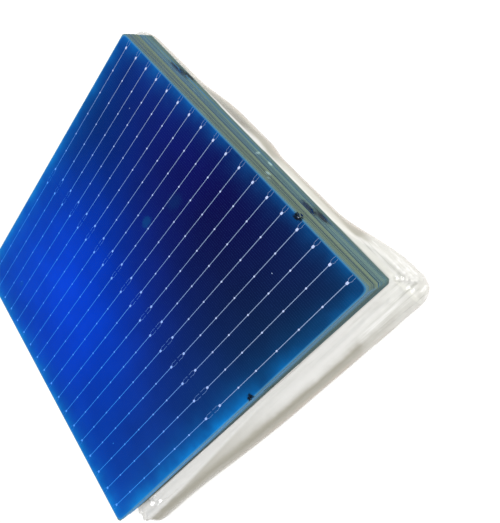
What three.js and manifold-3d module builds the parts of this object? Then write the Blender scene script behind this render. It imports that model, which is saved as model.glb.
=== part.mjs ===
// An opened pack of bare solar cells: a hundred square monocrystalline cells stacked on a foam pad,
// with the lower part of their clear film still wrapped round the pad.
// Millimetres, +Z up out of the sunny side of the cells. X runs across the busbars and Y along them.
// The origin is the middle of the film's underside.
import * as THREE from "three";
import { mergeVertices } from "three/addons/utils/BufferGeometryUtils.js";
import Module from "manifold-3d";

const wasm = await Module();
wasm.setup();

// Cell.
const CELL_SIDE = 210; // full-square cell, to be cut in two along X
const CORNER_CUT = 1.4; // leg of the small cut at each corner
const WAFER_T = 0.12;
const REAR_PRINT_T = 0.012;
const FRONT_PRINT_T = 0.01;
const PRINT_GAP = 0.002; // between a wafer and its printed layers
const CELL_PITCH = 0.155; // from one cell to the next in the stack
const REAR_PRINT_INSET = 1.2; // bare rim round the rear metal

// Printed silver on the sunny side: one comb on each half cell.
const BUSBARS = 18;
const BUSBAR_PITCH = 11.34;
const BUSBAR_W = 0.3;
const CROSS_FINGER_W = 0.3;
const FINGER_END_INSET = 1.0; // from a finger's end to the cell's side
const INNER_PAD_Y = 6.1; // pad rows nearest the cutting line
const OUTER_PAD_Y = 99.7; // pad rows nearest the cell's edge

// Stack.
const CELLS = 100;
const LOOSE_CELLS = 8; // cells at the top that are lifted off one by one
const UPPER_HALF_LAST = 50; // last cell above the interleaf sheet
const UPPER_BUNDLE = 6; // cells in one bundle above the sheet
const LOWER_BUNDLE = 5; // cells in one bundle below it
const INTERLEAF_T = 0.1;
const INTERLEAF_GAP = 0.01;
const INTERLEAF_INSET = 0.5;
const LEAN_X = -1.06; // how far the top cell has slid from the bottom one
const LEAN_Y = -6.7;

// Foam pad and film.
const FILM_T = 0.4; // the thin film with its creases
const SOFT_GAP = 0.3;
const PAD_T = 12;
const PAD_HALF_X = 118;
const PAD_HALF_Y = 104.8;
const PAD_CORNER_R = 14;
const PAD_EDGE_R = 4.2;
const FILM_HALF_X = 122;
const FILM_EDGE_R = 4;
const FILM_FRONT_CORNER_R = 10; // at +X, where the film's gathered end flares
const FILM_BACK_CORNER_R = 14; // at -X, where it is drawn tight
const FILM_TIGHT_Y = 106.2; // half width at the tight end
const FILM_BELLY = 3; // more half width along the middle
const FILM_BELLY_X = [-64, -20]; // where that builds up
const FILM_FLARE = 6.1; // more half width at the flared corners
const FILM_FLARE_X = [60, 106];
const FILM_SIDE_STEPS = 12;
const OPENING_MARGIN = 1.2; // from the stack's foot to the cut edge of the film

const PAD_BOTTOM = FILM_T + SOFT_GAP;
const PAD_TOP = PAD_BOTTOM + PAD_T;
const FILM_TOP = PAD_TOP + SOFT_GAP + FILM_T;
const STACK_BOTTOM = PAD_TOP + SOFT_GAP;

const silicon = () =>
  new THREE.MeshStandardMaterial({ color: 0x10226e, roughness: 0.25, metalness: 0.1 });
const silver = () =>
  new THREE.MeshStandardMaterial({ color: 0xd5d9e4, roughness: 0.35, metalness: 0.9 });
const rearMetal = () =>
  new THREE.MeshStandardMaterial({ color: 0x8d9296, roughness: 0.6, metalness: 0.5 });
const waferEdge = () =>
  new THREE.MeshStandardMaterial({ color: 0x66706a, roughness: 0.55, metalness: 0.1 });
const paper = () => new THREE.MeshStandardMaterial({ color: 0xa9c4c2, roughness: 0.8, metalness: 0 });
const foam = () => new THREE.MeshStandardMaterial({ color: 0xf2f1ec, roughness: 0.9, metalness: 0 });
const film = () => new THREE.MeshStandardMaterial({ color: 0xe9e8e2, roughness: 0.15, metalness: 0 });

function named(name, geometry, material, x = 0, y = 0, z = 0) {
  const mesh = new THREE.Mesh(geometry, material);
  mesh.name = name;
  mesh.position.set(x, y, z);
  return mesh;
}

function solidOf(geometry) {
  geometry.deleteAttribute("normal");
  geometry.deleteAttribute("uv");
  const merged = mergeVertices(geometry, 1e-3);
  const triVerts = new Uint32Array(merged.index.array);
  const vertProperties = merged.attributes.position.array;
  return new wasm.Manifold(new wasm.Mesh({ numProp: 3, vertProperties, triVerts }));
}

function geometryOf(solid) {
  const mesh = solid.getMesh();
  const geometry = new THREE.BufferGeometry();
  geometry.setAttribute("position", new THREE.BufferAttribute(mesh.vertProperties, 3));
  geometry.setIndex(new THREE.BufferAttribute(mesh.triVerts, 1));
  geometry.computeVertexNormals();
  return geometry;
}

// A square sheet with its corners cut, its underside at z = 0.
function sheet(side, cut, thickness) {
  const h = side / 2;
  const shape = new THREE.Shape();
  shape.moveTo(h, cut - h);
  shape.lineTo(h, h - cut);
  shape.lineTo(h - cut, h);
  shape.lineTo(cut - h, h);
  shape.lineTo(-h, h - cut);
  shape.lineTo(-h, cut - h);
  shape.lineTo(cut - h, -h);
  shape.lineTo(h - cut, -h);
  shape.closePath();
  return new THREE.ExtrudeGeometry(shape, { depth: thickness, bevelEnabled: false });
}

// A comb of silver on one half cell: busbars along Y, tied by a finger at the outer row of pads.
function comb() {
  const fingerHalf = CELL_SIDE / 2 - FINGER_END_INSET;
  const low = OUTER_PAD_Y - CROSS_FINGER_W / 2;
  const high = OUTER_PAD_Y + CROSS_FINGER_W / 2;
  const shape = new THREE.Shape();
  shape.moveTo(fingerHalf, low);
  shape.lineTo(fingerHalf, high);
  shape.lineTo(-fingerHalf, high);
  shape.lineTo(-fingerHalf, low);
  for (let i = 0; i < BUSBARS; i++) {
    const x = (i - (BUSBARS - 1) / 2) * BUSBAR_PITCH;
    shape.lineTo(x - BUSBAR_W / 2, low);
    shape.lineTo(x - BUSBAR_W / 2, INNER_PAD_Y);
    shape.lineTo(x + BUSBAR_W / 2, INNER_PAD_Y);
    shape.lineTo(x + BUSBAR_W / 2, low);
  }
  shape.closePath();
  return new THREE.ExtrudeGeometry(shape, { depth: FRONT_PRINT_T, bevelEnabled: false });
}

// Cells are numbered from the top. cellZ gives the underside of a cell's place in the stack.
const share = (number) => (CELLS - number) / (CELLS - 1);
const leanX = (number) => LEAN_X * share(number);
const leanY = (number) => LEAN_Y * share(number);
const sheetRoom = INTERLEAF_T + 2 * INTERLEAF_GAP;
const cellZ = (number) =>
  STACK_BOTTOM + (CELLS - number) * CELL_PITCH + (number <= UPPER_HALF_LAST ? sheetRoom : 0);
const padded = (number) => String(number).padStart(3, "0");

function looseCell(number) {
  const cell = new THREE.Group();
  const name = "cell_" + padded(number);
  const waferZ = REAR_PRINT_T + PRINT_GAP;
  const gridZ = waferZ + WAFER_T + PRINT_GAP;
  const rear = sheet(CELL_SIDE - 2 * REAR_PRINT_INSET, CORNER_CUT, REAR_PRINT_T);
  cell.add(named(name + "_rear_print", rear, rearMetal()));
  cell.add(named(name + "_wafer", sheet(CELL_SIDE, CORNER_CUT, WAFER_T), silicon(), 0, 0, waferZ));
  cell.add(named(name + "_front_grid_a", comb(), silver(), 0, 0, gridZ));
  const other = named(name + "_front_grid_b", comb(), silver(), 0, 0, gridZ);
  other.rotation.z = Math.PI;
  cell.add(other);
  cell.position.set(leanX(number), leanY(number), cellZ(number));
  return cell;
}

// Cells first to last, as one block.
function bundle(first, last) {
  const height = (last - first + 1) * CELL_PITCH - INTERLEAF_GAP;
  const middle = (first + last) / 2;
  const name = "cells_" + padded(first) + "_" + padded(last);
  const block = sheet(CELL_SIDE, CORNER_CUT, height);
  return named(name, block, waferEdge(), leanX(middle), leanY(middle), cellZ(last));
}

function interleafSheet() {
  const z = cellZ(UPPER_HALF_LAST) - sheetRoom + INTERLEAF_GAP;
  const leaf = sheet(CELL_SIDE - 2 * INTERLEAF_INSET, CORNER_CUT, INTERLEAF_T);
  const middle = UPPER_HALF_LAST + 0.5;
  return named("interleaf_sheet", leaf, paper(), leanX(middle), leanY(middle), z);
}

// A flat body with rounded edges: outline, underside, top and edge radius.
function cushion(shape, bottom, top, edgeR) {
  const body = new THREE.ExtrudeGeometry(shape, {
    depth: top - bottom - 2 * edgeR,
    bevelThickness: edgeR,
    bevelSize: edgeR,
    bevelOffset: -edgeR,
    bevelSegments: 3,
    curveSegments: 4,
  });
  return body.translate(0, 0, bottom + edgeR);
}

function foamPad() {
  const x = PAD_HALF_X - PAD_CORNER_R;
  const y = PAD_HALF_Y - PAD_CORNER_R;
  const shape = new THREE.Shape();
  shape.absarc(x, y, PAD_CORNER_R, 0, Math.PI / 2);
  shape.absarc(-x, y, PAD_CORNER_R, Math.PI / 2, Math.PI);
  shape.absarc(-x, -y, PAD_CORNER_R, Math.PI, 1.5 * Math.PI);
  shape.absarc(x, -y, PAD_CORNER_R, 1.5 * Math.PI, 2 * Math.PI);
  return named("foam_pad", cushion(shape, PAD_BOTTOM, PAD_TOP, PAD_EDGE_R), foam());
}

// The film's half width at x.
function filmHalfY(x) {
  const belly = THREE.MathUtils.smoothstep(x, ...FILM_BELLY_X);
  const flare = THREE.MathUtils.smoothstep(x, ...FILM_FLARE_X);
  return FILM_TIGHT_Y + FILM_BELLY * belly + FILM_FLARE * flare;
}

// The film's outline in plan, drawn in by inset: +X corners round the flare, -X corners drawn tight.
function filmOutline(inset) {
  const frontX = FILM_HALF_X - FILM_FRONT_CORNER_R;
  const backX = FILM_BACK_CORNER_R - FILM_HALF_X;
  const frontY = filmHalfY(frontX) - FILM_FRONT_CORNER_R;
  const backY = filmHalfY(backX) - FILM_BACK_CORNER_R;
  const frontR = FILM_FRONT_CORNER_R - inset;
  const backR = FILM_BACK_CORNER_R - inset;
  const shape = new THREE.Shape();
  shape.absarc(frontX, frontY, frontR, 0, Math.PI / 2);
  for (let i = 1; i < FILM_SIDE_STEPS; i++) {
    const x = THREE.MathUtils.lerp(frontX, backX, i / FILM_SIDE_STEPS);
    shape.lineTo(x, filmHalfY(x) - inset);
  }
  shape.absarc(backX, backY, backR, Math.PI / 2, Math.PI);
  shape.absarc(backX, -backY, backR, Math.PI, 1.5 * Math.PI);
  for (let i = 1; i < FILM_SIDE_STEPS; i++) {
    const x = THREE.MathUtils.lerp(backX, frontX, i / FILM_SIDE_STEPS);
    shape.lineTo(x, inset - filmHalfY(x));
  }
  shape.absarc(frontX, -frontY, frontR, 1.5 * Math.PI, 2 * Math.PI);
  return shape;
}

// The film under and round the pad and over its rim, open on top where the stack stands on the pad.
function filmWrap() {
  const outside = cushion(filmOutline(0), 0, FILM_TOP, FILM_EDGE_R);
  const inside = cushion(filmOutline(FILM_T), FILM_T, FILM_TOP - FILM_T, FILM_EDGE_R - FILM_T);
  const openingSide = CELL_SIDE + 2 * OPENING_MARGIN;
  const opening = new THREE.BoxGeometry(openingSide, openingSide, PAD_T);
  opening.translate(0, 0, PAD_TOP + PAD_T / 2);
  const wrap = solidOf(outside).subtract(solidOf(inside)).subtract(solidOf(opening));
  return named("film_wrap", geometryOf(wrap), film());
}

const pack = new THREE.Group();
pack.add(filmWrap(), foamPad());
for (let last = CELLS; last > UPPER_HALF_LAST; last -= LOWER_BUNDLE) {
  pack.add(bundle(last - LOWER_BUNDLE + 1, last));
}
pack.add(interleafSheet());
for (let last = UPPER_HALF_LAST; last > LOOSE_CELLS; last -= UPPER_BUNDLE) {
  pack.add(bundle(last - UPPER_BUNDLE + 1, last));
}
for (let number = LOOSE_CELLS; number >= 1; number--) {
  pack.add(looseCell(number));
}

export default pack;
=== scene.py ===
import math
import random

import bpy
from mathutils import Matrix, Vector, noise


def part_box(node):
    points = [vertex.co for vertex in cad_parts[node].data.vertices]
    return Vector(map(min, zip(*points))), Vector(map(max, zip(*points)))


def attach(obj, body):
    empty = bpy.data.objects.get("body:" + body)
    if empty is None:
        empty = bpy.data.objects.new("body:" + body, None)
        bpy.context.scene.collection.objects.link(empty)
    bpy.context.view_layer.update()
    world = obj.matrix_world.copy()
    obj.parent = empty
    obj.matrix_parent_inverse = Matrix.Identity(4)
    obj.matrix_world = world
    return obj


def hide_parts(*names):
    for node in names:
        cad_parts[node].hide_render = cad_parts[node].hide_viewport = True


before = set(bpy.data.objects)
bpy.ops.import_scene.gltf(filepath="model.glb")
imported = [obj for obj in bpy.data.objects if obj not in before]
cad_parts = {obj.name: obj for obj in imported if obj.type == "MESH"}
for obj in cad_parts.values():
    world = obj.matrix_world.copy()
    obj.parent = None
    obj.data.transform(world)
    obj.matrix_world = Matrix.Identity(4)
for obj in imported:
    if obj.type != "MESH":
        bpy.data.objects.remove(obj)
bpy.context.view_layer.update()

MM = 0.001

# Camera: where it stands, what it looks at, and which way its right hand points.
CAMERA_AT = (123.80, 135.85, 204.24)
CAMERA_TARGET = (54.34, 64.58, 28.60)
CAMERA_RIGHT = (0.60745, 0.62288, -0.49297)
CAMERA_LENS = 27.933

# Cell, in millimetres.
SIDE = 210
HALF = SIDE / 2
CORNER_CUT = 1.4
EDGE_WOBBLE = 0.03  # how uneven a sawn edge is

# Stack, in millimetres and radians. Each cell slides and turns a little on the one below.
LAYER_T = 0.142
PITCH = 0.155
CELLS = 100
LOOSE_CELLS = 8
LEAN_X = -1.06
LEAN_Y = -6.7
FOOT_TURN = -0.009  # the lowest cell's turn
FOOT_SHIFT_Y = 0.7
SLIP_KEPT = 0.6  # share of a cell's slip that the next one keeps
SLIP_SPREAD = 0.09
TURN_SPREAD = 0.0006
RISE_SPREAD = 0.008

# Printed silver, in millimetres.
BUSBARS = 18
BUSBAR_PITCH = 11.34
BUSBAR_W = 0.32
BUSBAR_T = 0.009
PAD_ROWS = (21.9, 36.0, 51.8, 67.8, 83.9)
INNER_ROW = 6.1
OUTER_ROW = 99.7
PAD_HALF = (0.42, 0.50)
END_PAD_HALF = (0.60, 0.80)
PAD_T = 0.010
FINGER_PITCH = 1.25
FINGER_W = 0.045
FINGER_T = 0.007
FORK_W = 0.12
FORK_SPREAD = 1.0
FORK_KNEE = 1.9  # from the end pad to where the prongs straighten
PRINT_END = 104.2
CUT_GAP = 0.6
MARKS = ((68, 76), (-68, 76))
MARK_HALF = (0.28, 0.28)

# Chips in the stack: first and last cell, side (0 is +X, then anticlockwise), place along it, width, depth.
BROKEN = (
    (1, 8, 1, -58.4, 4.6, 1.8),
    (9, 14, 1, -58.4, 3.6, 1.3),
    (1, 8, 0, 24.2, 3.4, 1.0),
    (52, 68, 1, -58.0, 7.0, 1.3),
    (74, 88, 1, 63.0, 9.0, 1.2),
    (40, 46, 2, 20.0, 5.0, 0.8),
    (20, 27, 3, -44.0, 4.5, 1.0),
    (70, 77, 2, -60.0, 6.0, 1.1),
    (86, 93, 3, 58.0, 7.0, 0.9),
)

# Foam pad and film, in millimetres. The film is tight along the stack's back, bellies, dips in once, and
# flares to its front corners. Each pair says where along X or Y the change runs.
FOAM_CORNER_R = 14
FOAM_EDGE_R = 5.5
FILM_FRONT_R = 10
FILM_BACK_R = 14
FILM_TIGHT_Y = 106.6
FILM_BELLY = 3.3
FILM_BELLY_X = (-64, -20)
FILM_DIP = 1.6
FILM_DIP_X = (6, 18)
FILM_FLARE = 7.2
FILM_FLARE_X = (60, 106)
FRONT_TAPER = 3.3
FRONT_TAPER_Y = (15, -90)
FOOT = 103.6  # where the film starts, under the stack's rim
FOOT_Z = 12.88
LIFT_OFF = (1.0, 1.7)  # the film rises to its top between these distances from the foot
FILM_TOP = 13.32
FILM_T = 0.06
WIDEST_Z = 4.6
BASE_R = 2.8
BASE_Z = 0.1
LOWEST_Z = 0.06
SHOULDER_POWER = 1.5

# The film's web: it stands up against the front of the stack, from nothing near +Y to most towards -Y.
WEB_X = 105.45
WEB_RISE = 5.0
WEB_RISE_Y = (50, -70)
WEB_END_Y = (-100, -84)

# The soft fold in the film of the front ledge leaves the stack here, and runs out by this much for each
# step to -Y.
LEDGE_FOLD_X, LEDGE_FOLD_Y = 104.4, 58.8
LEDGE_FOLD_SLOPE = 0.059

# The painted reflection of the sky on the face, at its bluest place: where it is, how far it reaches each
# way, and its turn, in metres and radians.
PAINTED_REFLECTION_AT = (-0.022, -0.0393)
PAINTED_REFLECTION_REACH = (0.0542, 0.0397)
PAINTED_REFLECTION_TURN = -0.204

# Places where the edge was knocked, with painted shade of the chipped hollows on the faces there, in
# millimetres about the cell's centre.
KNOCKS = ((58.4, 104.3), (104.6, 24.2))
KNOCK_SIZE = (2.6, 1.9)
# Faint teal stains in the coating: place, size and strength.
STAINS = (((-9.3, 37.8), 2.8, 0.32), ((-2.5, 60.0), 4.0, 0.10), ((-66.9, -77.2), 2.0, 0.25))

# Colours, as linear red, green and blue.
# Azure near the rim: partly a lighter coating, partly a painted reflection.
AZURE = (0.003, 0.165, 0.50)
RIM_PALE = (0.06, 0.24, 0.42)
RIM_END = (0.09, 0.17, 0.20)
STAIN_TEAL = (0.003, 0.075, 0.190)
# Painted shade in the chipped hollows.
KNOCK_SHADE = (0.004, 0.007, 0.012)
# Silver, pad and finger colours hold a painted reflection of the sky's blue.
SILVER_PAINTED_REFLECTION = ((0.012, 0.19, 0.62), (0.030, 0.30, 0.95), (0.15, 0.23, 0.40), (0.30, 0.40, 0.62))
PAD_PAINTED_REFLECTION = ((0.045, 0.24, 0.80), (0.085, 0.36, 1.0), (0.34, 0.42, 0.66), (0.54, 0.62, 0.90))
FINGER_PAINTED_REFLECTION = ((0.003, 0.025, 0.12), (0.008, 0.045, 0.19))
EDGE_TOP_COLOURS = ((0.060, 0.120, 0.150), (0.140, 0.260, 0.330))
EDGE_UPPER_COLOURS = ((0.074, 0.106, 0.072), (0.170, 0.240, 0.175))
EDGE_LOWER_COLOURS = ((0.040, 0.075, 0.076), (0.145, 0.245, 0.225))
# Painted reflection of the sky on the stack's +X side.
PAINTED_SKY_FAR = (0.125, 0.270, 0.420)
PAINTED_SKY_NEAR = (0.150, 0.440, 0.780)
PAINTED_SKY_BLOTCH = (0.06, 0.12, 0.16)
PAINTED_SKY_STREAK = (0.030, 0.085, 0.150)
# Painted shade low on the stack's +X side.
LOW_FRONT_SHADE = (0.045, 0.060, 0.060)
FILM_MILKY = (0.82, 0.815, 0.80)
# Painted shade, with a painted warm reflection, down the film's shoulder and side.
FILM_SHOULDER_SHADE = (0.42, 0.405, 0.34)
FILM_SIDE_SHADE = (0.56, 0.505, 0.43)
# Painted shade beyond the ledge's fold.
FILM_SHADE_BEYOND_FOLD = (0.46, 0.44, 0.37)
# Painted sheen towards the front corner.
FILM_CORNER_SHEEN = (0.80, 0.80, 0.77)
# Painted shade on the film's +Y wall.
FILM_SHADE_BEHIND = (0.27, 0.26, 0.22)
FILM_LIT = (0.84, 0.84, 0.78)
# Painted highlight lines and painted crease shade lines.
FILM_HIGHLIGHT_LINE = (0.93, 0.93, 0.92)
FILM_CREASE_SHADE_LINE = (0.46, 0.47, 0.42)
SMUDGE_DARK = (0.012, 0.022, 0.034)
SMUDGE_PALE = (0.30, 0.42, 0.40)

# Smudges on the +Y side of the stack, in millimetres: x, z, half width, half height, colour.
UPPER_SMUDGES = (
    (28.0, 23.6, 1.5, 1.0, SMUDGE_PALE),
    (31.0, 25.6, 1.0, 0.6, SMUDGE_PALE),
)
LOWER_SMUDGES = (
    (55.0, 19.2, 5.0, 1.9, SMUDGE_DARK),
    (62.5, 17.2, 4.6, 1.8, SMUDGE_DARK),
    (-65.0, 16.6, 8.0, 2.2, SMUDGE_DARK),
    (-58.0, 14.4, 5.0, 1.3, SMUDGE_DARK),
    (13.0, 18.0, 0.9, 1.3, SMUDGE_PALE),
    (22.0, 17.0, 1.4, 0.7, SMUDGE_PALE),
)

# Studio lamps, in metres and watts: name, place, target, size, power, colour.
LAMPS = (
    ("key", (0.15, 0.72, 1.25), (0, 0, 0), 0.6, 20, (1.0, 0.985, 0.96)),
    ("glint", (0.95, 0.35, 0.75), (0.1, 0.1, 0), 0.12, 1.2, (1.0, 0.99, 0.97)),
    ("left rim", (0.30, -0.95, 0.36), (0, -0.1, 0), 0.16, 1.6, (0.97, 0.98, 1.0)),
    ("rear rim", (-0.95, 0.32, 0.40), (-0.1, 0, 0), 0.16, 1.6, (0.97, 0.98, 1.0)),
)
SKY_COLOUR = (0.98, 0.99, 1.0, 1)
SKY_STRENGTH = 0.45
FLOOR_HALF = 4000  # millimetres


def collection_add(obj):
    bpy.context.scene.collection.objects.link(obj)
    return obj


def mesh_object(name, verts, faces, materials, smooth=False, face_materials=None):
    """A mesh object from points in millimetres."""
    mesh = bpy.data.meshes.new(name)
    mesh.from_pydata([(x * MM, y * MM, z * MM) for x, y, z in verts], [], faces)
    for material in materials:
        mesh.materials.append(material)
    if face_materials:
        mesh.polygons.foreach_set("material_index", face_materials)
    if smooth:
        mesh.shade_smooth()
    mesh.validate()
    return collection_add(bpy.data.objects.new(name, mesh))


# ---------------------------------------------------------------- materials

class Nodes:
    """A small helper that builds a node tree from left to right."""

    def __init__(self, name):
        self.material = bpy.data.materials.new(name)
        self.material.use_nodes = True
        self.tree = self.material.node_tree
        self.shader = self.tree.nodes["Principled BSDF"]
        self.place = self.add("ShaderNodeTexCoord").outputs["Object"]

    def add(self, kind, **settings):
        node = self.tree.nodes.new(kind)
        for key, value in settings.items():
            setattr(node, key, value)
        return node

    def link(self, source, target):
        self.tree.links.new(source, target)

    def feed(self, target, value):
        """Sets a socket from another socket, or from a plain value."""
        if isinstance(value, bpy.types.NodeSocket):
            self.link(value, target)
        else:
            target.default_value = value

    def math(self, operation, a, b=0.0, clamp=False):
        node = self.add("ShaderNodeMath", operation=operation, use_clamp=clamp)
        self.feed(node.inputs[0], a)
        self.feed(node.inputs[1], b)
        return node.outputs[0]

    def map_range(self, value, low, high, to_low=0.0, to_high=1.0, kind="SMOOTHSTEP"):
        node = self.add("ShaderNodeMapRange", interpolation_type=kind)
        for socket, item in zip(node.inputs, (value, low, high, to_low, to_high)):
            self.feed(socket, item)
        return node.outputs[0]

    def mix(self, factor, a, b, blend="MIX"):
        node = self.add("ShaderNodeMix", data_type="RGBA", blend_type=blend)
        self.feed(node.inputs[0], factor)
        self.feed(node.inputs[6], a if isinstance(a, bpy.types.NodeSocket) else (*a, 1))
        self.feed(node.inputs[7], b if isinstance(b, bpy.types.NodeSocket) else (*b, 1))
        return node.outputs[2]

    def scaled(self, scale, offset=(0, 0, 0)):
        node = self.add("ShaderNodeMapping")
        node.inputs["Scale"].default_value = scale
        node.inputs["Location"].default_value = offset
        self.link(self.place, node.inputs["Vector"])
        return node.outputs[0]

    def noise(self, vector, scale, detail=3.0, roughness=0.5):
        node = self.add("ShaderNodeTexNoise")
        self.link(vector, node.inputs["Vector"])
        node.inputs["Scale"].default_value = scale
        node.inputs["Detail"].default_value = detail
        node.inputs["Roughness"].default_value = roughness
        return node.outputs["Fac"]

    def spot(self, centre, radii, axes, edge=0.35):
        """A ragged spot, 1 inside and 0 outside. Centre and radii are in millimetres, along two axes."""
        scale, offset = [0.0, 0.0, 0.0], [0.0, 0.0, 0.0]
        for axis, place, radius in zip(axes, centre, radii):
            scale[axis] = 1 / (radius * MM)
            offset[axis] = -place / radius
        length = self.add("ShaderNodeVectorMath", operation="LENGTH")
        self.link(self.scaled(scale, offset), length.inputs[0])
        centred = self.math("SUBTRACT", self.noise(self.place, 900.0, 3.0), 0.5)
        ragged = self.math("MULTIPLY", centred, 1.6)
        away = self.math("ADD", length.outputs["Value"], ragged)
        return self.map_range(away, 1 + edge, 1 - edge)

    def bump(self, height, strength, distance):
        node = self.add("ShaderNodeBump")
        node.inputs["Strength"].default_value = strength
        node.inputs["Distance"].default_value = distance
        self.link(height, node.inputs["Height"])
        self.link(node.outputs[0], self.shader.inputs["Normal"])

    def set(self, **values):
        for key, value in values.items():
            self.feed(self.shader.inputs[key.replace("_", " ")], value)


def sunny_side():
    """Anti-reflective blue of the front face, with a painted reflection of the sky: bluest round one place
    and falling off to the darkest at the far corner. Within a few millimetres of the rim it turns azure,
    partly a lighter coating and partly a painted reflection that is stronger towards -Y, then pale. x and y
    are in units of 0.1 m."""
    n = Nodes("sunny_side")
    split = n.add("ShaderNodeSeparateXYZ")
    n.link(n.place, split.inputs[0])
    x, y = (n.math("MULTIPLY", split.outputs[axis], 10.0) for axis in (0, 1))
    # Painted reflection of the sky: a soft blue spot round one place, with a fitted falloff that is darkest
    # at the far corner.
    spot = n.add("ShaderNodeMapping", vector_type="TEXTURE")
    spot.inputs["Location"].default_value = (*PAINTED_REFLECTION_AT, 0)
    spot.inputs["Rotation"].default_value = (0, 0, PAINTED_REFLECTION_TURN)
    spot.inputs["Scale"].default_value = (*PAINTED_REFLECTION_REACH, 1e6)
    n.link(n.place, spot.inputs["Vector"])
    square = n.add("ShaderNodeVectorMath", operation="DOT_PRODUCT")
    n.link(spot.outputs[0], square.inputs[0])
    n.link(spot.outputs[0], square.inputs[1])
    painted_reflection = n.math("EXPONENT", n.math("MULTIPLY", square.outputs["Value"], -0.5))
    xx, yy, xy = n.math("MULTIPLY", x, x), n.math("MULTIPLY", y, y), n.math("MULTIPLY", x, y)
    blue = 0.096
    for term, amount in ((painted_reflection, 0.333), (x, -0.06), (y, -0.094), (xx, 0.070), (yy, 0.066), (xy, -0.034)):
        blue = n.math("ADD", n.math("MULTIPLY", term, amount), blue)
    corner = n.math("MULTIPLY", n.map_range(x, -0.35, -1.0, 0.0, -0.07), n.map_range(y, -0.2, 0.6))
    blue = n.math("MAXIMUM", n.math("ADD", blue, corner), 0.048)
    sides = n.math("MULTIPLY", xx, 0.011)
    green = n.math("ADD", n.math("MULTIPLY", blue, 0.062), n.math("ADD", sides, 0.0050))
    green = n.math("ADD", green, n.math("MULTIPLY", y, -0.0065))
    dusk = n.map_range(n.math("ADD", x, y), -0.3, 0.5)
    green = n.math("SUBTRACT", green, n.math("MULTIPLY", dusk, 0.0006))
    interior = n.add("ShaderNodeCombineColor")
    n.link(n.math("ADD", n.math("MULTIPLY", dusk, 0.0024), 0.0006), interior.inputs[0])
    n.link(green, interior.inputs[1])
    n.link(blue, interior.inputs[2])
    # Azure near the rim: partly a lighter coating, partly a painted reflection that is stronger towards -Y.
    reach_x = n.math("SUBTRACT", 1.05, n.math("ABSOLUTE", x))
    reach_y = n.math("SUBTRACT", 1.05, n.math("ABSOLUTE", y))
    reach = n.math("SMOOTH_MIN", reach_x, reach_y)
    reach.node.inputs[2].default_value = 0.06
    wander = n.map_range(n.noise(n.place, 70.0, 3.0), 0.3, 0.7, 0.5, 1.35, "LINEAR")
    rim_coating_and_reflection = n.math("EXPONENT", n.math("MULTIPLY", reach, -19.0))
    strong_y = n.map_range(y, 0.8, -0.1, 0.30, 0.95)
    strong = n.math("MAXIMUM", strong_y, n.map_range(x, 0.3, -0.9, 0.28, 0.52))
    rim_coating_and_reflection = n.math("MULTIPLY", n.math("MULTIPLY", rim_coating_and_reflection, strong), wander, clamp=True)
    base = n.mix(rim_coating_and_reflection, interior.outputs[0], AZURE)
    base = n.mix(n.map_range(reach, 0.011, 0.003, 0.0, 0.55), base, RIM_PALE)
    base = n.mix(n.map_range(reach, 0.0022, 0.0014), base, RIM_END)
    for place, size, strength in STAINS:
        stain = n.spot(place, (size, 1.25 * size), (0, 1), 0.45)
        base = n.mix(n.math("MULTIPLY", stain, strength), base, STAIN_TEAL)
    # Painted shade in the chipped hollows.
    for knock in KNOCKS:
        base = n.mix(n.spot(knock, KNOCK_SIZE, (0, 1)), base, KNOCK_SHADE)
    cloud = n.map_range(n.noise(n.place, 45.0, 4.0), 0.3, 0.7, 0.90, 1.10, "LINEAR")
    grey = n.add("ShaderNodeCombineColor")
    for socket in grey.inputs:
        n.link(cloud, socket)
    base = n.mix(1.0, base, grey.outputs[0], "MULTIPLY")
    n.set(Base_Color=base, Metallic=0.0, IOR=1.2, Specular_IOR_Level=0.15)
    n.shader.inputs["Specular Tint"].default_value = (0.10, 0.30, 1.0, 1)
    n.set(Roughness=n.map_range(n.noise(n.place, 260.0, 2.0), 0.3, 0.7, 0.30, 0.42, "LINEAR"))
    n.bump(n.noise(n.place, 1400.0, 2.0), 0.25, 0.00004)
    return n.material


def printed_silver(name, dark, light, far_dark=None, far_light=None):
    """Fired silver paste: pale, slightly grainy. Its colour holds a painted reflection of the sky's blue
    towards -Y, and greys towards +Y, where the far colours are reached."""
    n = Nodes(name)
    grain = n.noise(n.place, 2600.0, 3.0)
    base = n.mix(grain, dark, light)
    if far_dark:
        split = n.add("ShaderNodeSeparateXYZ")
        n.link(n.place, split.inputs[0])
        across = n.math("ADD", split.outputs[1], n.math("MULTIPLY", split.outputs[0], 0.3))
        base = n.mix(n.map_range(across, -0.045, 0.075), base, n.mix(grain, far_dark, far_light))
    n.set(Base_Color=base, Metallic=0.2, Specular_IOR_Level=0.25)
    n.set(Roughness=n.map_range(grain, 0.3, 0.7, 0.35, 0.6, "LINEAR"))
    n.bump(grain, 0.5, 0.00002)
    return n.material


def rear_metal():
    n = Nodes("rear_metal")
    grain = n.noise(n.place, 900.0, 4.0)
    cloud = n.noise(n.place, 30.0, 3.0)
    base = n.mix(grain, (0.30, 0.32, 0.34), (0.46, 0.48, 0.50))
    n.set(Base_Color=n.mix(n.math("MULTIPLY", cloud, 0.4), base, (0.24, 0.27, 0.33)), Metallic=0.6)
    n.set(Roughness=n.map_range(grain, 0.3, 0.7, 0.5, 0.75, "LINEAR"))
    n.bump(grain, 0.4, 0.00003)
    return n.material


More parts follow.
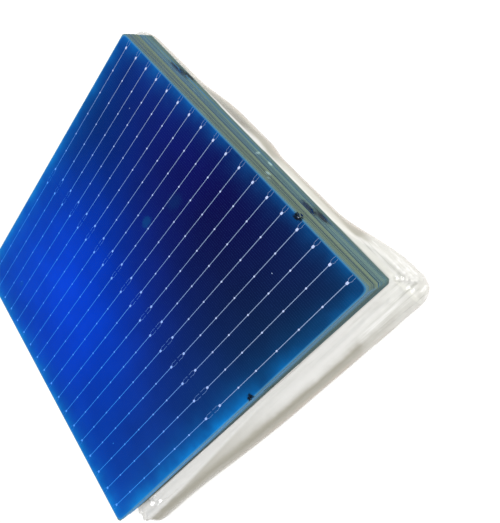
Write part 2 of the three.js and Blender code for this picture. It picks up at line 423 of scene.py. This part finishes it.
def wafer_edge(name, dark, light, smudges=(), lean_slope=0.4295):
    """Sawn edge of the silicon: grey-green, streaked along each layer. On the +X side a painted reflection of
    the sky's blue lies on the upper layers, more so towards -Y, and painted shade darkens the lower layers
    there. lean_slope is how far the stack leans in Y for each step up."""
    n = Nodes(name)
    streaks = n.noise(n.scaled((14, 14, 5200)), 1.0, 3.0, 0.6)
    blotches = n.noise(n.scaled((60, 60, 400)), 1.0, 3.0)
    tint = n.add("ShaderNodeAttribute", attribute_name="layer_tint").outputs["Fac"]
    streak = n.math("ADD", n.math("MULTIPLY", streaks, 0.7), n.math("MULTIPLY", tint, 0.3))
    base = n.mix(n.map_range(streak, 0.2, 0.8, kind="LINEAR"), dark, light)
    base = n.mix(n.map_range(blotches, 0.62, 0.8, 0.0, 0.35), base, tuple(1.5 * c for c in light))
    split = n.add("ShaderNodeSeparateXYZ")
    n.link(n.place, split.inputs[0])
    slid = n.math("MULTIPLY", n.math("SUBTRACT", split.outputs[2], 0.013), lean_slope)
    from_back = n.math("SUBTRACT", split.outputs[0], n.math("ADD", split.outputs[1], slid))
    at_front = n.map_range(split.outputs[0], 0.1022, 0.1030)
    front = n.math("MULTIPLY", at_front, n.map_range(from_back, 0.0, 0.0015))
    # Painted reflection of the sky on the upper layers of the +X side, broken by blotches and streaks.
    sky = n.mix(n.map_range(split.outputs[1], 0.095, -0.07), PAINTED_SKY_FAR, PAINTED_SKY_NEAR)
    sky = n.mix(n.math("MULTIPLY", blotches, 0.4), sky, PAINTED_SKY_BLOTCH)
    sky = n.mix(n.map_range(streak, 0.55, 0.30, 0.0, 0.75, "LINEAR"), sky, PAINTED_SKY_STREAK)
    high = n.math("ADD", split.outputs[2], n.math("MULTIPLY", split.outputs[1], -0.018))
    high = n.math("ADD", high, n.math("MULTIPLY", n.math("SUBTRACT", streaks, 0.5), 0.004))
    base = n.mix(n.math("MULTIPLY", n.map_range(high, 0.0195, 0.0245), front), base, sky)
    # Painted shade on the lower layers of the +X side.
    low_front_shade = n.math("MULTIPLY", n.map_range(high, 0.0215, 0.0185, 0.0, 0.45), front)
    base = n.mix(low_front_shade, base, LOW_FRONT_SHADE)
    back = n.map_range(split.outputs[1], 0.090, 0.096)
    for x, z, half_w, half_h, colour in smudges:
        spot = n.spot((x, z), (half_w, half_h), (0, 2), 0.5)
        base = n.mix(n.math("MULTIPLY", spot, back), base, colour)
    n.set(Base_Color=base, Metallic=0.15)
    n.set(Roughness=n.map_range(streaks, 0.2, 0.8, 0.35, 0.6, "LINEAR"))
    n.bump(streaks, 0.4, 0.00005)
    return n.material


def interleaf_paper():
    n = Nodes("interleaf_paper")
    fibre = n.noise(n.scaled((300, 300, 4000)), 1.0, 4.0)
    n.set(Base_Color=n.mix(fibre, (0.30, 0.46, 0.47), (0.42, 0.60, 0.60)), Roughness=0.7)
    n.bump(fibre, 0.3, 0.00003)
    return n.material


def white_foam():
    """Closed-cell foam: small packed cells under a soft skin."""
    n = Nodes("white_foam")
    cells = n.add("ShaderNodeTexVoronoi", feature="SMOOTH_F1")
    cells.inputs["Scale"].default_value = 620.0
    n.link(n.place, cells.inputs["Vector"])
    broad = n.noise(n.place, 55.0, 4.0)
    base = n.mix(cells.outputs["Distance"], (0.86, 0.86, 0.84), (0.74, 0.74, 0.72))
    n.set(Base_Color=n.mix(n.math("MULTIPLY", broad, 0.25), base, (0.80, 0.78, 0.74)), Roughness=0.85)
    n.set(Subsurface_Weight=0.15)
    n.shader.inputs["Subsurface Radius"].default_value = (0.004, 0.004, 0.004)
    n.bump(cells.outputs["Distance"], 0.6, 0.0005)
    return n.material


def clear_film():
    """Thin glossy film, milky where it lies on the pad. Painted light and shade: painted shade, warmed by a
    painted reflection, down the shoulder and sides, deeper beyond the ledge's fold and on the +Y wall towards
    -X; a painted lit strip along the stack's +Y side, a painted sheen towards the front corner, and fine
    painted highlight and crease-shade lines near the front corners.
    """
    n = Nodes("clear_film")
    split = n.add("ShaderNodeSeparateXYZ")
    n.link(n.place, split.inputs[0])
    wander = n.noise(n.place, 60.0, 3.0)
    height = n.math("ADD", split.outputs[2], n.math("MULTIPLY", n.math("SUBTRACT", wander, 0.5), 0.0016))
    # Painted shade down the shoulder and the side, with a painted warm reflection.
    base = n.mix(n.map_range(height, 0.0130, 0.0110), FILM_MILKY, FILM_SHOULDER_SHADE)
    base = n.mix(n.map_range(height, 0.0095, 0.0060), base, FILM_SIDE_SHADE)
    # Painted shade on the front ledge beyond its soft fold, deeper towards -Y.
    fold = n.math("ADD", split.outputs[0], n.math("MULTIPLY", split.outputs[1], LEDGE_FOLD_SLOPE))
    fold_start = (LEDGE_FOLD_X + LEDGE_FOLD_SLOPE * LEDGE_FOLD_Y) * MM
    beyond = n.map_range(n.math("SUBTRACT", fold, fold_start), 0.0, 0.002)
    beyond = n.math("MULTIPLY", beyond, n.map_range(split.outputs[1], 0.03, -0.055, 0.0, 0.75))
    base = n.mix(beyond, base, FILM_SHADE_BEYOND_FOLD)
    # Painted sheen: the film is kept light towards the +X +Y corner.
    reach = n.math("ADD", split.outputs[0], split.outputs[1])
    reach = n.math("ADD", reach, n.math("MULTIPLY", n.math("SUBTRACT", wander, 0.5), 0.06))
    base = n.mix(n.map_range(reach, 0.175, 0.212, 0.0, 0.75), base, FILM_CORNER_SHEEN)
    out_y = n.math("SUBTRACT", split.outputs[1], 0.105)
    # Painted shade on the film's +Y wall beside the stack, towards -X.
    shade_behind = n.math("MULTIPLY", n.map_range(out_y, 0.0010, 0.0018), n.map_range(out_y, 0.0050, 0.0036))
    shade_behind = n.math("MULTIPLY", shade_behind, n.map_range(split.outputs[0], 0.006, -0.012, 0.0, 0.8))
    shade_behind = n.math("MULTIPLY", shade_behind, n.map_range(height, 0.0085, 0.0110))
    base = n.mix(shade_behind, base, FILM_SHADE_BEHIND)
    lit = n.map_range(split.outputs[0], 0.012, 0.030)
    lit = n.math("MULTIPLY", lit, n.map_range(out_y, 0.0032, 0.0018, 0.0, 0.6))
    lit = n.math("MULTIPLY", lit, n.map_range(out_y, 0.0002, 0.0008))
    base = n.mix(lit, base, FILM_LIT)
    near = n.map_range(reach, 0.176, 0.204)
    past_diagonal = n.math("SUBTRACT", split.outputs[0], n.math("ABSOLUTE", split.outputs[1]))
    side = n.map_range(past_diagonal, -0.004, 0.004)
    lines_x = n.noise(n.scaled((560, 20, 160)), 1.0, 4.0, 0.62)
    lines_y = n.noise(n.scaled((20, 560, 160)), 1.0, 4.0, 0.62)
    lines_y = n.math("MULTIPLY", lines_y, n.math("SUBTRACT", 1.0, side))
    lines = n.math("ADD", n.math("MULTIPLY", lines_x, side), lines_y)
    # Painted highlights and painted crease shade in fine lines near the front corners.
    painted_highlights = n.math("MULTIPLY", n.map_range(lines, 0.54, 0.66, 0.0, 0.85), near)
    painted_crease_shade = n.math("MULTIPLY", n.map_range(lines, 0.48, 0.34, 0.0, 0.60), n.math("MAXIMUM", near, 0.22))
    base = n.mix(painted_highlights, base, FILM_HIGHLIGHT_LINE)
    base = n.mix(painted_crease_shade, base, FILM_CREASE_SHADE_LINE)
    crinkle = n.noise(n.place, 210.0, 5.0, 0.6)
    n.set(Base_Color=base, Alpha=0.6, IOR=1.5, Coat_Weight=0.8, Coat_Roughness=0.04)
    n.set(Roughness=n.map_range(crinkle, 0.3, 0.7, 0.10, 0.22, "LINEAR"))
    n.bump(n.math("ADD", n.math("MULTIPLY", crinkle, 0.6), n.math("MULTIPLY", lines, 0.7)), 0.45, 0.0006)
    return n.material


def pale_floor():
    n = Nodes("pale_floor")
    n.set(Base_Color=(0.90, 0.90, 0.90, 1.0), Roughness=0.9)
    return n.material


SUNNY = sunny_side()
SILVER = printed_silver("printed_silver", *SILVER_PAINTED_REFLECTION)
SOLDER_PAD = printed_silver("solder_pad", *PAD_PAINTED_REFLECTION)
FINGER = printed_silver("finger_silver", *FINGER_PAINTED_REFLECTION)
REAR = rear_metal()
EDGE_TOP = wafer_edge("wafer_edge_top", *EDGE_TOP_COLOURS, lean_slope=0.0)
EDGE_UPPER = wafer_edge("wafer_edge_upper", *EDGE_UPPER_COLOURS, UPPER_SMUDGES)
EDGE_LOWER = wafer_edge("wafer_edge_lower", *EDGE_LOWER_COLOURS, LOWER_SMUDGES)
PAPER = interleaf_paper()
FOAM = white_foam()
FILM = clear_film()


# ---------------------------------------------------------------- cells

def outline(rng, chips):
    """Outline of one cell: cut corners, slightly uneven edges, and chips as (side, place, width, depth)."""
    points = []
    for side in range(4):
        turn = side * math.pi / 2
        along = [(-HALF + CORNER_CUT, 0.0)]
        stations = [(HALF * k / 3, 0.0) for k in (-2, -1, 0, 1, 2)]
        breaks = sorted(c[1:] for c in chips if c[0] == side)
        for place, width, depth in breaks:
            stations = [s for s in stations if abs(s[0] - place) > width]
            stations += [
                (place - 0.50 * width, 0.0),
                (place - 0.34 * width, -0.75 * depth),
                (place - 0.08 * width, -depth),
                (place + 0.21 * width, -0.62 * depth),
                (place + 0.37 * width, -0.50 * depth),
                (place + 0.50 * width, 0.0),
            ]
        along += sorted(stations)
        along.append((HALF - CORNER_CUT, 0.0))
        for run, out in along:
            out += HALF + (rng.uniform(-EDGE_WOBBLE, 0.0) if abs(run) < HALF - 2 else 0.0)
            x = out * math.cos(turn) - run * math.sin(turn)
            y = out * math.sin(turn) + run * math.cos(turn)
            points.append((x, y))
    return points


def plates(name, layers, materials):
    """Flat layers in one mesh. Each is (outline, bottom, top, tint); materials are for edge, top and
    underside. Where layers lie on one another, the slivers that show between them are edge too."""
    verts, faces, which, tints = [], [], [], []
    for place, (points, bottom, top, tint) in enumerate(layers):
        first, count = len(verts), len(points)
        verts += [(x, y, bottom) for x, y in points] + [(x, y, top) for x, y in points]
        for k in range(count):
            after = (k + 1) % count
            faces.append((first + k, first + after, first + count + after, first + count + k))
            which.append(0)
        faces.append(tuple(range(first + count, first + 2 * count)))
        which.append(1 if place == len(layers) - 1 else 0)
        faces.append(tuple(reversed(range(first, first + count))))
        which.append(2 if place == 0 else 0)
        tints += [tint] * (count + 2)
    obj = mesh_object(name, verts, faces, materials, face_materials=which)
    attribute = obj.data.attributes.new("layer_tint", "FLOAT", "FACE")
    attribute.data.foreach_set("value", tints)
    return obj


def lean(number):
    """How far a cell has slid from the lowest one."""
    share = (CELLS - number) / (CELLS - 1)
    return LEAN_X * share, LEAN_Y * share


def chips_of(number, rng):
    """The chips in one cell's edge: its share of the broken places, and now and then one of its own."""
    found = []
    for first, last, side, place, width, depth in BROKEN:
        if first <= number <= last:
            share = math.sin(math.pi * (number - first + 1) / (last - first + 2))
            size = 1.0 if last - first < 3 else 0.45 + 0.55 * share
            drift = rng.uniform(-0.12, 0.12) * width
            found.append((side, place + drift, width * size * rng.uniform(0.8, 1.0), depth * size))
    if rng.random() < 0.25 and number > 2:
        side, place = rng.randrange(4), rng.uniform(-95, 95)
        found.append((side, place, rng.uniform(0.8, 2.0), rng.uniform(0.15, 0.4)))
    return found


def box_mm(node):
    low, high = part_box(node)
    return low / MM, high / MM


def place_piece(piece, x, y, body, slot, *nodes):
    piece.location = (x * MM, y * MM, 0)
    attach(piece, body)
    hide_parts(*nodes)


def loose_wafers():
    """The top cells' wafers, one piece each, with chipped edges."""
    for number in range(1, LOOSE_CELLS + 1):
        rng = random.Random(900 + number)
        node = f"cell_{number:03d}_wafer"
        low, high = box_mm(node)
        layer = (outline(rng, chips_of(number, rng)), low.z, high.z, rng.random())
        piece = plates(f"wafer_{number:03d}", [layer], [EDGE_TOP, SUNNY, REAR])
        centre = (low + high) / 2
        place_piece(piece, centre.x, centre.y, f"cell_{number:03d}", "sunny_side", node)


def stacked_layers():
    """Each bundle as the separate cells that it holds, none lying quite square on the next. The foot of the
    stack has turned and shifted a little."""
    rng = random.Random(41)
    slip_x = slip_y = 0.0
    for node in sorted(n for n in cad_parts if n.startswith("cells_")):
        first, last = (int(part) for part in node.split("_")[1:])
        low, high = box_mm(node)
        layers = []
        for number in range(last, first - 1, -1):
            slip_x = SLIP_KEPT * slip_x + rng.gauss(0, SLIP_SPREAD)
            slip_y = SLIP_KEPT * slip_y + rng.gauss(0, SLIP_SPREAD)
            foot_share = (number - 1) / (CELLS - 1)
            turn = rng.gauss(0, TURN_SPREAD) + FOOT_TURN * foot_share
            lean_x, lean_y = lean(number)
            lean_y += FOOT_SHIFT_Y * foot_share
            bottom = low.z + (last - number) * PITCH + rng.uniform(0, RISE_SPREAD)
            points = [
                (x - turn * y + lean_x + slip_x, y + turn * x + lean_y + slip_y)
                for x, y in outline(rng, chips_of(number, rng))
            ]
            layers.append((points, bottom, bottom + LAYER_T, rng.random()))
        edge = EDGE_UPPER if last <= CELLS // 2 else EDGE_LOWER
        piece = plates(node.replace("cells", "layers"), layers, [edge, SUNNY, REAR])
        place_piece(piece, 0, 0, "cell_stack", "stacked_cells", node)


# ---------------------------------------------------------------- printed silver

class Print:
    """Flat prisms of printed silver in one mesh. Materials are 0 silver, 1 finger, 2 solder pad."""

    def __init__(self, bottom):
        self.bottom = bottom
        self.verts = []
        self.faces = []
        self.which = []
        self.material = 0

    def prism(self, points, height):
        first, count = len(self.verts), len(points)
        self.which += [self.material] * (count + 2)
        self.verts += [(x, y, self.bottom) for x, y in points]
        self.verts += [(x, y, self.bottom + height) for x, y in points]
        for k in range(count):
            after = (k + 1) % count
            self.faces.append((first + k, first + after, first + count + after, first + count + k))
        self.faces.append(tuple(range(first + count, first + 2 * count)))
        self.faces.append(tuple(reversed(range(first, first + count))))

    def bar(self, start, end, width, height):
        (x0, y0), (x1, y1) = start, end
        length = math.hypot(x1 - x0, y1 - y0)
        across_x, across_y = (y1 - y0) / length * width / 2, (x0 - x1) / length * width / 2
        self.prism(
            [
                (x0 + across_x, y0 + across_y),
                (x1 + across_x, y1 + across_y),
                (x1 - across_x, y1 - across_y),
                (x0 - across_x, y0 - across_y),
            ],
            height,
        )

    def pad(self, x, y, half_w, half_l, height):
        """A pad with cut corners."""
        cut = 0.45 * half_w
        self.prism(
            [
                (x + half_w, y - half_l + cut),
                (x + half_w, y + half_l - cut),
                (x + half_w - cut, y + half_l),
                (x - half_w + cut, y + half_l),
                (x - half_w, y + half_l - cut),
                (x - half_w, y - half_l + cut),
                (x - half_w + cut, y - half_l),
                (x + half_w - cut, y - half_l),
            ],
            height,
        )


def half_grid(bottom):
    """Silver on the half cell at +Y, about the cell's centre."""
    p = Print(bottom)
    p.material = 1
    y = CUT_GAP + FINGER_PITCH / 2
    while y < PRINT_END:
        p.bar((-PRINT_END, y), (PRINT_END, y), FINGER_W, FINGER_T)
        y += FINGER_PITCH
    p.material = 0
    for k in range(BUSBARS):
        x = (k - (BUSBARS - 1) / 2) * BUSBAR_PITCH
        p.bar((x, INNER_ROW), (x, OUTER_ROW), BUSBAR_W, BUSBAR_T)
        p.material = 2
        for row in PAD_ROWS:
            p.pad(x, row, *PAD_HALF, PAD_T)
        for row in (INNER_ROW, OUTER_ROW):
            p.pad(x, row, *END_PAD_HALF, PAD_T)
        p.material = 0
        for row, way in ((INNER_ROW, -1), (OUTER_ROW, 1)):
            end = PRINT_END if way > 0 else CUT_GAP
            knee = row + way * FORK_KNEE
            for hand in (-1, 1):
                spread = hand * FORK_SPREAD
                p.bar((x + 0.25 * spread, row + way * 0.5), (x + spread, knee), FORK_W, BUSBAR_T)
                p.bar((x + spread, knee - way * 0.05), (x + 0.86 * spread, end), FORK_W, BUSBAR_T)
    for x, y in MARKS:
        p.pad(x, y, *MARK_HALF, PAD_T)
    return p


def printed_grids():
    """Both halves' silver on each loose cell: the second is the first, turned half way round."""
    materials = [SILVER, FINGER, SOLDER_PAD]
    for number in range(1, LOOSE_CELLS + 1):
        cell = f"cell_{number:03d}"
        low, high = box_mm(f"{cell}_wafer")
        centre = (low + high) / 2
        for half, turn in (("a", 1), ("b", -1)):
            node = f"{cell}_front_grid_{half}"
            p = half_grid(box_mm(node)[0].z)
            verts = [(turn * x, turn * y, z) for x, y, z in p.verts]
            name = f"silver_{number:03d}_{half}"
            piece = mesh_object(name, verts, p.faces, materials, face_materials=p.which)
            place_piece(piece, centre.x, centre.y, cell, "printed_silver", node)


# ---------------------------------------------------------------- foam pad and film

def smoothstep(low, high, value):
    t = min(1.0, max(0.0, (value - low) / (high - low)))
    return t * t * (3 - 2 * t)


def resample(points, step):
    """Points at an even spacing along a closed line."""
    lengths = [math.dist(a, b) for a, b in zip(points, points[1:] + points[:1])]
    total = sum(lengths)
    count = round(total / step)
    found, k, passed = [], 0, 0.0
    for i in range(count):
        want = total * i / count
        while passed + lengths[k] < want:
            passed += lengths[k]
            k += 1
        share = (want - passed) / lengths[k]
        a, b = points[k], points[(k + 1) % len(points)]
        found.append((a[0] + (b[0] - a[0]) * share, a[1] + (b[1] - a[1]) * share))
    return found


def arc(centre_x, centre_y, radius, start, steps=12):
    """A quarter turn, anticlockwise from start in degrees."""
    angles = [math.radians(start + 90 * k / steps) for k in range(steps + 1)]
    return [(centre_x + radius * math.cos(a), centre_y + radius * math.sin(a)) for a in angles]


def taper(x, y):
    """How far the front side draws in towards -Y."""
    return FRONT_TAPER * smoothstep(*FRONT_TAPER_Y, y) * smoothstep(0, 110, x)


def film_half_y(x):
    """The film's half width at x."""
    belly = FILM_BELLY * smoothstep(*FILM_BELLY_X, x)
    dip = FILM_DIP * smoothstep(*FILM_DIP_X, x)
    flare = FILM_FLARE * smoothstep(*FILM_FLARE_X, x)
    return FILM_TIGHT_Y + belly - dip + flare


def film_outline(step):
    half_x = box_mm("film_wrap")[1].x
    front_x, back_x = half_x - FILM_FRONT_R, FILM_BACK_R - half_x
    front_y, back_y = film_half_y(front_x) - FILM_FRONT_R, film_half_y(back_x) - FILM_BACK_R
    sides = [front_x + (back_x - front_x) * k / 80 for k in range(1, 80)]
    points = arc(front_x, front_y, FILM_FRONT_R, 0)
    points += [(x, film_half_y(x)) for x in sides]
    points += arc(back_x, back_y, FILM_BACK_R, 90) + arc(back_x, -back_y, FILM_BACK_R, 180)
    points += [(x, -film_half_y(x)) for x in reversed(sides)]
    points += arc(front_x, -front_y, FILM_FRONT_R, 270)
    points += [(half_x, -front_y + 2 * front_y * k / 60) for k in range(1, 60)]
    return resample([(x - taper(x, y), y) for x, y in points], step)


def foam_outline(step):
    high = box_mm("foam_pad")[1]
    x, y = high.x - FOAM_CORNER_R, high.y - FOAM_CORNER_R
    points = arc(x, y, FOAM_CORNER_R, 0) + arc(-x, y, FOAM_CORNER_R, 90)
    points += arc(-x, -y, FOAM_CORNER_R, 180) + arc(x, -y, FOAM_CORNER_R, 270)
    points += [(high.x, -y + 2 * y * k / 60) for k in range(1, 60)]
    return resample([(x - taper(x, y), y) for x, y in points], step)


def normals(points):
    """Outward normals of a line that runs anticlockwise."""
    found = []
    for k in range(len(points)):
        (x0, y0), (x1, y1) = points[k - 1], points[(k + 1) % len(points)]
        length = math.hypot(x1 - x0, y1 - y0)
        found.append(((y1 - y0) / length, (x0 - x1) / length))
    return found


def front_drop(x, y):
    """The front ledge falls away beyond a soft fold that runs slantwise from the corner of the stack."""
    ridge = LEDGE_FOLD_X + LEDGE_FOLD_SLOPE * (LEDGE_FOLD_Y - y)
    beyond = x - ridge
    tilt = 0.03 + 0.20 * smoothstep(60, -75, y)
    return tilt * 0.5 * (beyond + math.hypot(beyond, 1.2)) if x > 90 else 0.0


def web_lip(y):
    """How far the film stands up against the front of the stack: nothing near +Y, most towards -Y."""
    return WEB_RISE * smoothstep(*WEB_RISE_Y, y) * smoothstep(*WEB_END_Y, y)


def loft(rings, close_first, close_last):
    """Faces between rings of equal count, the ends closed round a middle point."""
    count = len(rings[0])
    verts = [v for ring in rings for v in ring]
    faces = []
    for r in range(len(rings) - 1):
        for k in range(count):
            after = (k + 1) % count
            a, b = r * count, (r + 1) * count
            faces.append((a + k, b + k, b + after, a + after))
    if close_first:
        verts.append(middle(rings[0]))
        faces += [(k, (k + 1) % count, len(verts) - 1) for k in range(count)]
    if close_last:
        verts.append(middle(rings[-1]))
        last = (len(rings) - 1) * count
        faces += [(last + (k + 1) % count, last + k, len(verts) - 1) for k in range(count)]
    return verts, faces


def middle(ring):
    return tuple(sum(v[axis] for v in ring) / len(ring) for axis in range(3))


def foam_pad():
    """The pad under the stack: soft corners, and a skin that is never quite flat."""
    low, high = box_mm("foam_pad")
    line = foam_outline(2.0)
    out = normals(line)
    r = FOAM_EDGE_R
    sections = [(0.04 + 0.03 * k, high.z) for k in range(30)]
    rings = [[(x * share, y * share, z) for x, y in line] for share, z in sections]
    turns = [math.pi / 2 * k / 9 for k in range(10)]
    rounded = [(r * (math.sin(a) - 1), high.z - r * (1 - math.cos(a))) for a in turns]
    rounded += [(r * (math.cos(a) - 1), low.z + r * (1 - math.sin(a))) for a in turns]
    for inset, z in rounded:
        rings.append([(x + nx * inset, y + ny * inset, z) for (x, y), (nx, ny) in zip(line, out)])
    rings += [[(x * share, y * share, low.z) for x, y in line] for share in (0.85, 0.6, 0.3)]
    made = []
    for ring in rings:
        row = []
        for x, y, z in ring:
            place = Vector((x, y, z))
            inside = 0.28 + 0.12 * noise.noise(place / 3.5) + 0.14 * noise.noise(place / 17)
            lower = inside + 1.15 * front_drop(x, y) if z > 6 else -inside
            row.append((x * (1 - inside / 110), y * (1 - inside / 110), z - lower))
        made.append(row)
    verts, faces = loft(made, True, True)
    piece = mesh_object("foam_cushion", verts, faces, [FOAM], smooth=True)
    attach(piece, "packing")
    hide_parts("foam_pad")


def film_rings():
    """From the stack's foot outwards over the ledge, round the shoulder, down the wall and under the pad."""
    line = film_outline(0.9)
    spokes = []
    for (x, y), (nx, ny) in zip(line, normals(line)):
        ix, iy = max(-FOOT, min(FOOT, x)), max(-FOOT, min(FOOT, y))
        ledge = math.hypot(x - ix, y - iy)
        shoulder = min(4.5 + 3.0 * max(0.0, nx) ** 2, 0.72 * ledge)
        spokes.append((x, y, nx, ny, ix, iy, ledge, shoulder))
    rings = []
    ledge_steps, shoulder_steps, wall_steps, base_steps = 16, 12, 4, 7
    for k in range(ledge_steps):
        ring = []
        for x, y, nx, ny, ix, iy, ledge, shoulder in spokes:
            share = k / ledge_steps * (1 - shoulder / ledge)
            px, py = ix + (x - ix) * share, iy + (y - iy) * share
            rise = smoothstep(*LIFT_OFF, share * ledge)
            pz = FOOT_Z + rise * (FILM_TOP - FOOT_Z - front_drop(px, py))
            lip = web_lip(py) if px > FOOT - 0.1 and abs(py) < 104 else 0.0
            if lip > 0.05:
                px = max(px, WEB_X + max(0.0, -FOOT_TURN * py))
                ridge = LEDGE_FOLD_X + LEDGE_FOLD_SLOPE * (LEDGE_FOLD_Y - py)
                reach = max(ridge - WEB_X, 0.6)
                pz = max(pz, FILM_TOP + lip * (1 - (px - WEB_X) / reach))
            ring.append((px, py, pz))
        rings.append(ring)
    for k in range(shoulder_steps + 1):
        turn = math.pi / 2 * k / shoulder_steps
        across, height = math.sin(turn) ** (2 / SHOULDER_POWER), math.cos(turn) ** (2 / SHOULDER_POWER)
        ring = []
        for x, y, nx, ny, ix, iy, ledge, shoulder in spokes:
            share = 1 - shoulder / ledge * (1 - across)
            start_x = x + (ix - x) * shoulder / ledge
            start_y = y + (iy - y) * shoulder / ledge
            rise = smoothstep(*LIFT_OFF, ledge - shoulder)
            top = FOOT_Z + rise * (FILM_TOP - FOOT_Z - front_drop(start_x, start_y))
            z = WIDEST_Z + (top - WIDEST_Z) * height
            ring.append((ix + (x - ix) * share, iy + (y - iy) * share, z))
        rings.append(ring)
    for k in range(1, wall_steps):
        z = WIDEST_Z + (BASE_R - WIDEST_Z) * k / wall_steps
        rings.append([(x, y, z) for x, y in line])
    for k in range(base_steps + 1):
        turn = math.pi / 2 * k / base_steps
        inset, z = BASE_R * (1 - math.cos(turn)), BASE_R * (1 - math.sin(turn)) + BASE_Z
        rings.append([(x - nx * inset, y - ny * inset, z) for x, y, nx, ny, *_ in spokes])
    crumple_rows = len(rings)
    for share in (0.9, 0.75, 0.5, 0.25):
        rings.append([(x * share, y * share, BASE_Z) for x, y in line])
    return rings, crumple_rows


def film_push(x, y, z):
    """How far the film stands out from its smooth shape: long folds along the front ledge, a gathered seam
    with pleats across each front corner, and fine creases. All of it fades down the side, where the film is
    stretched."""
    place = Vector((x, y, z))
    out_x, out_y = x - 105, abs(y) - 105
    from_corner = math.hypot(max(out_x, 0), max(out_y, 0))
    angle = math.degrees(math.atan2(max(out_y, 0.01), max(out_x, 0.01)))
    at_corner = smoothstep(-3, 2, min(out_x, out_y))
    on_top = smoothstep(6, 11.5, z)
    bead_row = math.exp(-(((angle - 45) * from_corner / 70) ** 2)) * smoothstep(16, 11, from_corner)
    seam = bead_row * (0.40 + 0.50 * math.sin(from_corner * 3.1))
    pleats = 0.20 * math.sin(math.radians(angle) * 11 + 2.5 * noise.noise(place / 7))
    pleats *= smoothstep(1, 4, from_corner)
    gathers = at_corner * (seam * smoothstep(0.5, 2, from_corner) + pleats)
    at_front = smoothstep(50, 95, x) * smoothstep(60, 100, abs(y))
    near_corner = at_front + 0.8 * smoothstep(185, 212, abs(y) - x)
    ridges = noise.ridged_multi_fractal(place / 7, 1.0, 2.1, 4, 1.0, 2.0) - 1.2
    creases = (0.10 + 0.22 * near_corner) * ridges
    wander = 1.5 * noise.noise(Vector((0, y / 30, 3)))
    ledge = smoothstep(95, 106, x) * (0.10 + 0.26 * smoothstep(15, 95, abs(y)))
    folds = ledge * math.sin(out_x * 1.05 + wander + 0.6)
    if x > 100:
        folds += 0.25 * noise.noise(Vector((x / 9, y / 45, z / 5)))
    elif abs(y) > 104:
        folds += 0.32 * noise.noise(Vector((x / 24, y / 7, z / 5)))
    return (gathers + creases) * (0.25 + 0.75 * on_top) + folds * (0.5 + 0.5 * on_top)


def crumpled(rings, rows):
    """Pushes the film in and out along its own normal, less and less towards the stack's foot."""
    count = len(rings[0])
    made = []
    for r, ring in enumerate(rings[:rows]):
        before, after = rings[max(r - 1, 0)], rings[r + 1]
        row = []
        for k, (x, y, z) in enumerate(ring):
            along = Vector(ring[(k + 1) % count]) - Vector(ring[k - 1])
            down = Vector(after[k]) - Vector(before[k])
            normal = along.cross(down).normalized() * -1
            from_foot = max(abs(x), abs(y)) - FOOT
            push = smoothstep(1.0, 4.0, from_foot) * max(film_push(x, y, z), -0.32)
            px, py, pz = Vector((x, y, z)) + normal * push
            row.append((px, py, max(pz, LOWEST_Z)))
        made.append(row)
    return made + rings[rows:]


def film_sheet():
    rings, rows = film_rings()
    verts, faces = loft(crumpled(rings, rows), False, True)
    piece = mesh_object("film_sheet", verts, faces, [FILM], smooth=True)
    solid = piece.modifiers.new("thickness", "SOLIDIFY")
    solid.thickness = FILM_T * MM
    solid.offset = 0
    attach(piece, "packing")
    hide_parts("film_wrap")


# ---------------------------------------------------------------- carried-over nodes and stage

def paint_frame():
    """Better materials for the CAD nodes that stay."""
    for name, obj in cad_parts.items():
        material = REAR if name.endswith("_rear_print") else PAPER if name == "interleaf_sheet" else None
        if material:
            obj.data.materials.clear()
            obj.data.materials.append(material)


def camera():
    """The photograph's view of the pack."""
    data = bpy.data.cameras.new("camera")
    data.lens = CAMERA_LENS
    data.sensor_width = 36
    data.clip_start = 0.005
    data.clip_end = 20
    obj = collection_add(bpy.data.objects.new("camera", data))
    at, target = Vector(CAMERA_AT) * MM, Vector(CAMERA_TARGET) * MM
    back = (at - target).normalized()
    up = back.cross(Vector(CAMERA_RIGHT)).normalized()
    right = up.cross(back)
    obj.rotation_mode = "QUATERNION"
    obj.location = at
    obj.rotation_quaternion = Matrix((right, up, back)).transposed().to_quaternion()
    bpy.context.scene.camera = obj


def area_light(name, at, target, size, watts, colour):
    data = bpy.data.lights.new(name, "AREA")
    data.shape = "DISK"
    data.size = size
    data.energy = watts
    data.color = colour
    obj = collection_add(bpy.data.objects.new(name, data))
    obj.location = at
    obj.rotation_mode = "QUATERNION"
    obj.rotation_quaternion = (Vector(target) - Vector(at)).to_track_quat("-Z", "Y")


def studio():
    f = FLOOR_HALF
    corners = [(-f, -f, 0), (f, -f, 0), (f, f, 0), (-f, f, 0)]
    floor = mesh_object("floor", corners, [(0, 1, 2, 3)], [pale_floor()])
    world = bpy.data.worlds.new("studio")
    world.use_nodes = True
    background = world.node_tree.nodes["Background"]
    background.inputs["Color"].default_value = SKY_COLOUR
    background.inputs["Strength"].default_value = SKY_STRENGTH
    bpy.context.scene.world = world
    bpy.context.scene.view_settings.view_transform = "Standard"
    for lamp in LAMPS:
        area_light(*lamp)


camera()
loose_wafers()
printed_grids()
stacked_layers()
foam_pad()
film_sheet()
paint_frame()
studio()
